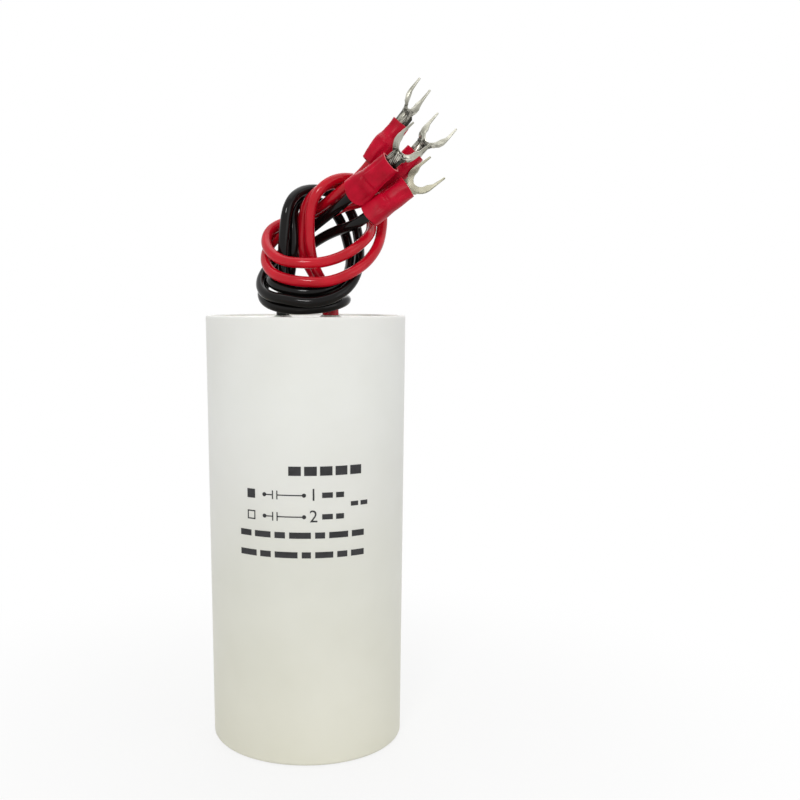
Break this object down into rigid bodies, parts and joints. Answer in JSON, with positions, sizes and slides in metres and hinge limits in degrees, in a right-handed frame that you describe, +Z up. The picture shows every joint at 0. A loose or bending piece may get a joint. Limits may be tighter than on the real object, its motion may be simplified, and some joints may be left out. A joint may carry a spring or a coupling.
{
  "type": "motor run capacitor",
  "caption": "Round white potted capacitor with knotted pairs of red and black leads that end in sleeved fork terminals.",
  "frame": {"origin": "centre of the base, on the surface that the cup stands on", "axes": "+Z up along the cup's axis; +X towards the fork terminals; -Y towards the side with the print"},
  "size_m": [0.0618, 0.05, 0.1653],
  "materials": {
    "case": "smooth white moulded polypropylene, soft satin",
    "resin": "pale cast potting resin, satin",
    "card": "pressed insulating board, matte",
    "film": "wound metallised polypropylene film, satin",
    "core": "extruded plastic tube, matte",
    "zinc": "sprayed zinc, rough and matte",
    "solder": "tin solder, satin",
    "red_pvc": "glossy red PVC wire insulation",
    "black_pvc": "glossy black PVC wire insulation",
    "sleeve_pvc": "soft crimson PVC, satin",
    "tinned": "tinned brass sheet, slightly dull",
    "strands": "tinned copper strands"
  },
  "bodies": {
    "root": {"case": "case", "potting_resin": "resin", "bottom_pad": "card", "lower_winding": "film", "lower_core": "core", "lower_bottom_spray": "zinc", "lower_top_spray": "zinc", "middle_disc": "card", "upper_winding": "film", "upper_core": "core", "upper_bottom_spray": "zinc", "upper_top_spray": "zinc", "red_tail_1": "red_pvc", "red_solder_1": "solder", "red_lead_1": "red_pvc", "red_strands_1": "strands", "red_fork_1": "tinned", "red_sleeve_1": "sleeve_pvc", "red_tail_2": "red_pvc", "red_solder_2": "solder", "red_lead_2": "red_pvc", "red_strands_2": "strands", "red_fork_2": "tinned", "red_sleeve_2": "sleeve_pvc", "black_tail_1": "black_pvc", "black_solder_1": "solder", "black_lead_1": "black_pvc", "black_strands_1": "strands", "black_fork_1": "tinned", "black_sleeve_1": "sleeve_pvc", "black_tail_2": "black_pvc", "black_solder_2": "solder", "black_lead_2": "black_pvc", "black_strands_2": "strands", "black_fork_2": "tinned", "black_sleeve_2": "sleeve_pvc"}
  },
  "joints": []
}
